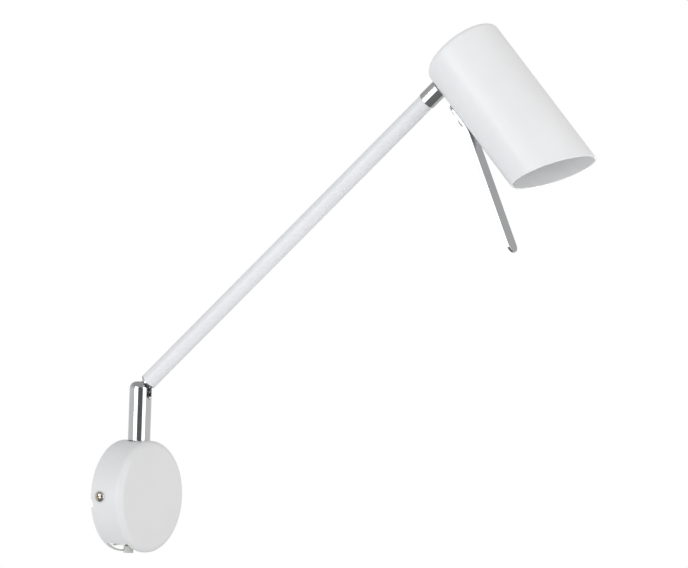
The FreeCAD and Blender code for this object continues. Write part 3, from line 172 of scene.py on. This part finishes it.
# Cover screws: pan heads with a cross recess, nickel plated brass, turned and then punched. The
# plating is thin in the recess, where the brass shows.
def pan_screw(name, at, facing, head, shank, place=Matrix()):
    """A screw whose head looks along facing. At is under its head. Head is its diameter and
    height, shank its diameter, length and pitch."""
    head_width, head_high = head
    shank_width, shank_long, pitch = shank
    head_radius, crest_radius = head_width / 2, shank_width / 2
    root_radius = crest_radius - pitch * 0.45
    dome_radius, soft_edge = head_width * 0.7, head_high * 0.08
    dome_middle = head_high - dome_radius
    shoulder = dome_middle + (dome_radius ** 2 - head_radius ** 2) ** 0.5
    dome_steps, steps_round, same_point, crease = 8, 48, 1e-7, radians(32)

    outline = []
    for step in range(dome_steps + 1):
        radius = (head_radius - soft_edge) * step / dome_steps
        outline.append((radius, dome_middle + (dome_radius ** 2 - radius ** 2) ** 0.5))
    outline += [(head_radius, shoulder - soft_edge), (head_radius, soft_edge),
                (head_radius - soft_edge, 0)]
    level = -pitch / 2
    while level > pitch - shank_long:
        outline += [(crest_radius, level), (root_radius, level - pitch / 2)]
        level -= pitch
    outline += [(root_radius, -shank_long), (0, -shank_long)]

    turned = bmesh.new()
    points = [turned.verts.new((radius, 0, high)) for radius, high in outline]
    edges = [turned.edges.new(pair) for pair in zip(points, points[1:])]
    bmesh.ops.spin(turned, geom=points + edges, cent=(0, 0, 0), axis=(0, 0, 1), angle=2 * pi,
                   steps=steps_round, use_merge=True)
    bmesh.ops.remove_doubles(turned, verts=turned.verts, dist=same_point)
    bmesh.ops.recalc_face_normals(turned, faces=turned.faces)
    mesh = bpy.data.meshes.new(name)
    turned.to_mesh(mesh)
    turned.free()
    screw = bpy.data.objects.new(name, mesh)
    scene.collection.objects.link(screw)

    # One bar of the cross punch at a time: square above, drawn in to a blunt edge below.
    reach, half_width, floor_high = head_width * 0.29, head_width * 0.065, head_high * 0.3
    punch_top, drawn_in, askew = head_high * 1.2, (0.45, 0.55, 1), 0.35
    for bar in range(2):
        punch = bmesh.new()
        bmesh.ops.create_cube(punch, size=2)
        bmesh.ops.scale(punch, vec=(reach, half_width, (punch_top - floor_high) / 2),
                        verts=punch.verts)
        bmesh.ops.translate(punch, vec=(0, 0, (punch_top + floor_high) / 2), verts=punch.verts)
        lower = [corner for corner in punch.verts if corner.co.z < head_high / 2]
        bmesh.ops.scale(punch, vec=drawn_in, verts=lower)
        bmesh.ops.rotate(punch, cent=(0, 0, 0), verts=punch.verts,
                         matrix=Matrix.Rotation(bar * pi / 2 + askew, 3, "Z"))
        tool_mesh = bpy.data.meshes.new("punch")
        punch.to_mesh(tool_mesh)
        punch.free()
        tool = bpy.data.objects.new("punch", tool_mesh)
        scene.collection.objects.link(tool)
        struck = screw.modifiers.new("recess", "BOOLEAN")
        struck.operation, struck.solver, struck.object = "DIFFERENCE", "EXACT", tool
        evaluated = screw.evaluated_get(bpy.context.evaluated_depsgraph_get())
        screw.data = bpy.data.meshes.new_from_object(evaluated)
        screw.modifiers.clear()
        bpy.data.objects.remove(tool)

    # The recess takes the second material: its steep walls below the dome's top, and its floor.
    below_dome, steep, on_floor = head_high * 0.93, 0.8, 1e-5
    for face in screw.data.polygons:
        wall = 0 < face.center.z < below_dome and abs(face.normal.z) < steep
        bottom = abs(face.center.z - floor_high) < on_floor
        if Vector(face.center[:2]).length < reach and (wall or bottom):
            face.material_index = 1
    screw.data.polygons.foreach_set("use_smooth", [True] * len(screw.data.polygons))
    screw.data.set_sharp_from_angle(angle=crease)
    facing_turn = Vector((0, 0, 1)).rotation_difference(Vector(facing)).to_matrix().to_4x4()
    screw.data.transform(place @ Matrix.Translation(at) @ facing_turn)
    return screw


def join(name, pieces):
    """One piece of several meshes that lie where they belong."""
    joined = bmesh.new()
    for piece in pieces:
        joined.from_mesh(piece.data)
    mesh = pieces[0].data
    joined.to_mesh(mesh)
    joined.free()
    pieces[0].name = name
    for piece in pieces[1:]:
        bpy.data.objects.remove(piece)
    return pieces[0]


nickel = surface("nickel_plate", (0.66, 0.64, 0.60), metallic=1.0)
uneven_color(nickel, grain(nickel, cells=700, detail=4), (0.60, 0.57, 0.50), (0.72, 0.70, 0.66))
uneven_gloss(nickel, grain(nickel, cells=1500), low=0.10, high=0.24)
relief(nickel, grain(nickel, cells=5000, detail=2), depth=1.5e-6)
thin_plating = surface("brass_in_recess", (0.72, 0.55, 0.27), metallic=1.0)
uneven_color(thin_plating, grain(thin_plating, cells=1400), (0.60, 0.45, 0.22), (0.80, 0.63, 0.34))
uneven_gloss(thin_plating, grain(thin_plating, cells=1500), low=0.25, high=0.45)
large_head, cover_shank = (0.0076, 0.0026), (0.0039, 0.009, 0.0007)
cover_radius, from_wall = 0.040, 0.008
cover_screws = join("cover_screws", [
    pan_screw(f"cover_screw_{side}", (side * cover_radius, -from_wall, 0), (side, 0, 0),
              large_head, cover_shank) for side in (-1, 1)])
for made in (nickel, thin_plating):
    cover_screws.data.materials.append(made)
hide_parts("canopy_screws")
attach(cover_screws, "wall_base")


# Cable bush: a grey nylon sleeve with a flange, moulded, with the faint marks of a spark-eroded
# mould. It is snapped into the bracket's shelf, and the supply cable comes in through it.
def moulded(name, color, gloss=(0.38, 0.5)):
    """A moulded plastic of one colour, with the grain of its mould."""
    made = surface(name, color)
    uneven_color(made, grain(made, cells=90, detail=3), *around(color, wander=0.04))
    uneven_gloss(made, grain(made, cells=600), *gloss)
    relief(made, grain(made, cells=2400, detail=3), depth=8e-6)
    return made


finish(moulded("grey_nylon", (0.74, 0.76, 0.71)), "cable_bush")

# Terminal block: moulded white polyamide, fixed to the bracket by one screw. Its clamp screws and
# the fixing screw are zinc plated steel.
finish(moulded("white_polyamide", (0.84, 0.84, 0.80)), "terminal_block")
finish(bright_zinc, "terminal_screws", "block_screw")

# Earth tag and screw: bare brass, as stamped and turned, already a little dull. The screw holds the
# tag to the bracket.
bare_brass = surface("bare_brass", (0.78, 0.62, 0.32), metallic=1.0)
uneven_color(bare_brass, grain(bare_brass, cells=300, detail=4),
             (0.64, 0.48, 0.22), (0.82, 0.67, 0.38))
uneven_gloss(bare_brass, grain(bare_brass, cells=500), low=0.24, high=0.42)
relief(bare_brass, grain(bare_brass, cells=2400, stretch=(1, 1, 8)), depth=4e-6)
finish(bare_brass, "earth_tag", "earth_screw")

# Stem saddle: black acetal, moulded to the curve of the rim, with the lug that stops the swing.
# Under it are a steel washer, the stop collar and two thin nuts, all zinc plated.
finish(moulded("black_acetal", (0.035, 0.035, 0.037), gloss=(0.3, 0.42)), "stem_saddle")
finish(bright_zinc, "stem_washer", "stop_collar", "stem_nuts")

# Stem: brass bar, turned, slotted for the arm, polished and chrome plated. Polishing leaves a very
# faint waviness and hairlines, and handling a trace of dullness. The hinge screw is plated too.
chrome = surface("chrome_plate", (0.62, 0.625, 0.635), metallic=1.0)
uneven_color(chrome, grain(chrome, cells=45, detail=3), (0.595, 0.60, 0.61), (0.635, 0.64, 0.65))
uneven_gloss(chrome, grain(chrome, cells=260, detail=4), low=0.035, high=0.075)
relief(chrome, grain(chrome, cells=300, detail=1), depth=1.2e-6)
relief(chrome, grain(chrome, cells=4000, detail=2, stretch=(1, 1, 0.08)), depth=2.5e-7)
finish(chrome, "stem", "hinge_screw")

# Arm: a chromed knuckle, hinged in the stem's slot between two steel washers, is pressed into the
# lower end of a steel tube, which has the same satin white coat as the cover.
# The arm's copy of the same coat is lighter and a little bluish: painted light, for the bluish side
# light on it.
arm_white_painted_light = powder_coat("satin_white_arm_painted_light", (0.815, 0.815, 0.835))
finish(chrome, "arm_knuckle")
finish(bright_zinc, "hinge_washers")
finish(arm_white_painted_light, "arm_tube")

# Neck: a turned and chromed sleeve, pressed into the arm's upper end. Its hollow stud goes through
# the shade's wall, where a saddle, a spring washer and a nut inside let the shade turn stiffly.
finish(chrome, "neck_sleeve")
finish(bright_zinc, "neck_nut", "neck_saddle", "neck_washer")

# Shade: drawn aluminium with a closed, round-edged end and a slanted mouth, coated satin white
# outside and in.
# The shade's copy of the coat is the lightest, which also brightens the inside of its mouth:
# painted light.
lampshade_white_painted_light = powder_coat("satin_white_lampshade_painted_light", (0.86, 0.86, 0.865))
finish(lampshade_white_painted_light, "shade_shell")

# Lever: a flat steel strip with round ends, polished and chromed, bent away from the hot shade so
# that fingers can turn it. A small and a larger pan head screw hold it, and inside the shade their
# nuts also hold the lampholder's strap.
finish(chrome, "lever_handle")
swivel = next(joint for joint in frame["joints"] if joint["name"] == "head_swivel")
arm_slope = atan2(swivel["axis"][2], -swivel["axis"][1])
shade_place = Matrix.Translation(swivel["pos_m"]) @ Matrix.Rotation(-arm_slope, 4, "X")
lever_face = 0.03054
small_head, small_shank = (0.0060, 0.0020), (0.0029, 0.0072, 0.0005)
large_shank = (0.0039, 0.0082, 0.0007)
for name, below, head, shank in (("lever_screw_upper", 0.021, small_head, small_shank),
                                 ("lever_screw_lower", 0.0304, large_head, large_shank)):
    screw = pan_screw(f"{name}_turned", (0, lever_face, -below), (0, 1, 0), head, shank,
                      place=shade_place)
    for made in (chrome, bright_zinc):
        screw.data.materials.append(made)
    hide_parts(name)
    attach(screw, "head_unit")
finish(bright_zinc, "lever_nut_upper", "lever_nut_lower", "holder_bracket")

# Lampholder: glazed ceramic, pressed and fired, with tiny specks and pits in the glaze. Two screws
# hold it to the strap's bent end.
ceramic = surface("glazed_ceramic", (0.88, 0.87, 0.83), Coat_Weight=0.6, Coat_Roughness=0.08)
uneven_color(ceramic, grain(ceramic, cells=240, detail=5), (0.84, 0.82, 0.76), (0.90, 0.89, 0.86))
uneven_gloss(ceramic, grain(ceramic, cells=300), low=0.14, high=0.3)
relief(ceramic, grain(ceramic, cells=1300, detail=2), depth=1.2e-5)
finish(ceramic, "lampholder")
finish(bright_zinc, "holder_screws", "lamp_pins")

# Lamp: a spun aluminium reflector lamp with two pins, satin outside and bright within, and a lens
# pressed with a fine pattern of bulges that spread the light.
reflector = surface("satin_aluminium", (0.78, 0.78, 0.79), metallic=1.0)
uneven_color(reflector, grain(reflector, cells=120, detail=3),
             (0.74, 0.74, 0.75), (0.81, 0.81, 0.82))
uneven_gloss(reflector, grain(reflector, cells=500, stretch=(1, 1, 6)), low=0.2, high=0.34)
relief(reflector, grain(reflector, cells=2600, stretch=(1, 1, 10)), depth=3e-6)
finish(reflector, "lamp_body")
pressed_glass = surface("pressed_glass", (0.93, 0.95, 0.96), Transmission_Weight=0.85, IOR=1.49)
bulges = pressed_glass.node_tree.nodes.new("ShaderNodeTexVoronoi")
bulges.inputs["Scale"].default_value = 380
on_lens = pressed_glass.node_tree.nodes.new("ShaderNodeTexCoord")
pressed_glass.node_tree.links.new(on_lens.outputs["Object"], bulges.inputs["Vector"])
uneven_gloss(pressed_glass, grain(pressed_glass, cells=700), low=0.12, high=0.3)
relief(pressed_glass, bulges.outputs["Distance"], depth=4e-4)
finish(pressed_glass, "lamp_lens")

# Wires: stranded copper in silicone with a braided glass sleeve, in pairs that run through the
# stem, the arm and the neck.
sleeving = surface("braided_sleeve", (0.82, 0.82, 0.79))
uneven_color(sleeving, grain(sleeving, cells=1400, detail=3),
             (0.74, 0.74, 0.70), (0.86, 0.86, 0.83))
uneven_gloss(sleeving, grain(sleeving, cells=900), low=0.5, high=0.7)
relief(sleeving, grain(sleeving, cells=2200, stretch=(1, 0.4, 1)), depth=8e-5)
finish(sleeving, "base_leads", "stem_leads", "arm_leads", "head_leads")


# Studio floor: a wide pale disc well below the lamp. To the camera, also through glass, it is part
# lit floor, which keeps the lamp's soft shadow, and part plain white.
def disc(name, radius, place, segments):
    """A flat disc in the scene, which place may also stretch."""
    shape = bmesh.new()
    bmesh.ops.create_circle(shape, cap_ends=True, segments=segments, radius=radius, matrix=place)
    mesh = bpy.data.meshes.new(name)
    shape.to_mesh(mesh)
    shape.free()
    made = bpy.data.objects.new(name, mesh)
    scene.collection.objects.link(made)
    return made


def seen_or_through_glass(nodes, links):
    """1 for what the camera sees, directly or through glass, and 0 for all other light."""
    paths = nodes.new("ShaderNodeLightPath")
    either = nodes.new("ShaderNodeMath")
    either.operation = "MAXIMUM"
    links.new(paths.outputs["Is Camera Ray"], either.inputs[0])
    links.new(paths.outputs["Is Transmission Ray"], either.inputs[1])
    return either.outputs["Value"]


lamp_middle = Vector((0, -0.15, 0.15))
floor_level = -0.75
floor = disc("floor", radius=4.0, place=Matrix.Translation((*lamp_middle.xy, floor_level)),
             segments=96)
pale = surface("pale_floor", (0.90, 0.90, 0.90), Roughness=0.9)
nodes, links = pale.node_tree.nodes, pale.node_tree.links
glow = nodes.new("ShaderNodeEmission")
glow.inputs["Strength"].default_value = 1.0
white_share = nodes.new("ShaderNodeMath")
white_share.operation = "MULTIPLY"
white_share.inputs[1].default_value = 0.72
blend = nodes.new("ShaderNodeMixShader")
links.new(seen_or_through_glass(nodes, links), white_share.inputs[0])
links.new(white_share.outputs["Value"], blend.inputs["Fac"])
links.new(nodes["Principled BSDF"].outputs["BSDF"], blend.inputs[1])
links.new(glow.outputs["Emission"], blend.inputs[2])
links.new(blend.outputs["Shader"], nodes["Material Output"].inputs["Surface"])
floor.data.materials.append(pale)

# Around the lamp: white to the camera, also through glass, and less bright where it lights the
# lamp. What the chrome shows of it darkens from the horizon to the ceiling.
world = bpy.data.worlds.new("studio")
scene.world = world
world.use_nodes = True
nodes, links = world.node_tree.nodes, world.node_tree.links
lit = nodes["Background"]
lit.inputs["Strength"].default_value = 0.60
mirrored = nodes.new("ShaderNodeBackground")
direction, height = nodes.new("ShaderNodeTexCoord"), nodes.new("ShaderNodeSeparateXYZ")
toward_ceiling = nodes.new("ShaderNodeMapRange")
for socket, value in (("From Min", 0.0), ("From Max", 0.6), ("To Min", 0.77), ("To Max", 0.42)):
    toward_ceiling.inputs[socket].default_value = value
links.new(direction.outputs["Generated"], height.inputs["Vector"])
links.new(height.outputs["Z"], toward_ceiling.inputs["Value"])
links.new(toward_ceiling.outputs["Result"], mirrored.inputs["Strength"])
seen = nodes.new("ShaderNodeBackground")
seen.inputs["Strength"].default_value = 1.0
for background in (lit, mirrored, seen):
    background.inputs["Color"].default_value = (1, 1, 1, 1)
paths = nodes.new("ShaderNodeLightPath")
for_gloss, for_camera = nodes.new("ShaderNodeMixShader"), nodes.new("ShaderNodeMixShader")
links.new(paths.outputs["Is Glossy Ray"], for_gloss.inputs["Fac"])
links.new(lit.outputs["Background"], for_gloss.inputs[1])
links.new(mirrored.outputs["Background"], for_gloss.inputs[2])
links.new(seen_or_through_glass(nodes, links), for_camera.inputs["Fac"])
links.new(for_gloss.outputs["Shader"], for_camera.inputs[1])
links.new(seen.outputs["Background"], for_camera.inputs[2])
links.new(for_camera.outputs["Shader"], nodes["World Output"].inputs["Surface"])


# Two tall softboxes, one on each side of the camera, which the chrome shows as pale bands. A narrow
# strip draws the bright line along the shade. Two fills that nothing mirrors light the shade's far
# side and the inside of its mouth.
def softbox(name, bearing, distance, level, width, height, radiance, tint=(1, 1, 1),
            middle=lamp_middle):
    """A soft lamp at a bearing counted like the camera's, and a level over the middle it faces."""
    light = bpy.data.lights.new(name, "AREA")
    light.shape, light.size, light.size_y = "RECTANGLE", width, height
    light.energy = radiance * pi * width * height
    light.color = tint
    box = bpy.data.objects.new(name, light)
    box.location = middle + Vector((sin(bearing) * distance, -cos(bearing) * distance, level))
    box.rotation_euler = (middle - box.location).to_track_quat("-Z", "Y").to_euler()
    box.visible_camera = False
    scene.collection.objects.link(box)
    return box


softbox("softbox_wall_side", azimuth - radians(46), distance=1.7, level=0.0,
        width=1.15, height=1.7, radiance=1.65, tint=(0.91, 0.955, 1))
softbox("softbox_front", azimuth + radians(44), distance=1.7, level=0.0,
        width=1.05, height=1.7, radiance=1.65)
strip = softbox("strip_wall_side", azimuth - radians(60), distance=1.7, level=0.1,
                width=0.05, height=1.3, radiance=14.0)
strip.visible_diffuse = False
fill_above = softbox("fill_above", radians(25), distance=1.3, level=1.1,
                     width=1.0, height=1.0, radiance=0.5)
shade_mouth = Vector((0, -0.341, 0.235))
fill_mouth = softbox("fill_mouth", radians(28), distance=0.36, level=-0.38,
                     width=0.05, height=0.05, radiance=0.9, middle=shade_mouth)
fill_mouth.data.spread = radians(10)
fill_above.visible_glossy = fill_mouth.visible_glossy = False


# Two dark grey cards that only the chrome shows, as the dark bands between the pale ones: a tall
# oval one behind the camera and a round one on the floor.
def grey_card(name, radius, place, stretch=(1, 1, 1)):
    """A matt card that casts no shadow and isn't seen directly."""
    card = disc(name, radius, place @ Matrix.Diagonal((*stretch, 1)), segments=64)
    card.data.materials.append(dark_grey)
    card.visible_camera = card.visible_diffuse = card.visible_shadow = False
    card.visible_transmission = False


dark_grey = surface("dark_grey_card", (0.22, 0.22, 0.22), Roughness=0.9)
toward_camera = Vector((sin(azimuth), -cos(azimuth), 0))
behind_camera = Matrix.Translation(toward_camera * 3.2) @ turn.to_4x4()
grey_card("card_behind_camera", radius=1.0, place=behind_camera, stretch=(1.5, 1.8, 1))
over_floor = Matrix.Translation((-0.7, -0.5, floor_level + 0.01))
grey_card("card_on_floor", radius=1.3, place=over_floor)

# Colours show as they are written.
scene.view_settings.view_transform = "Standard"
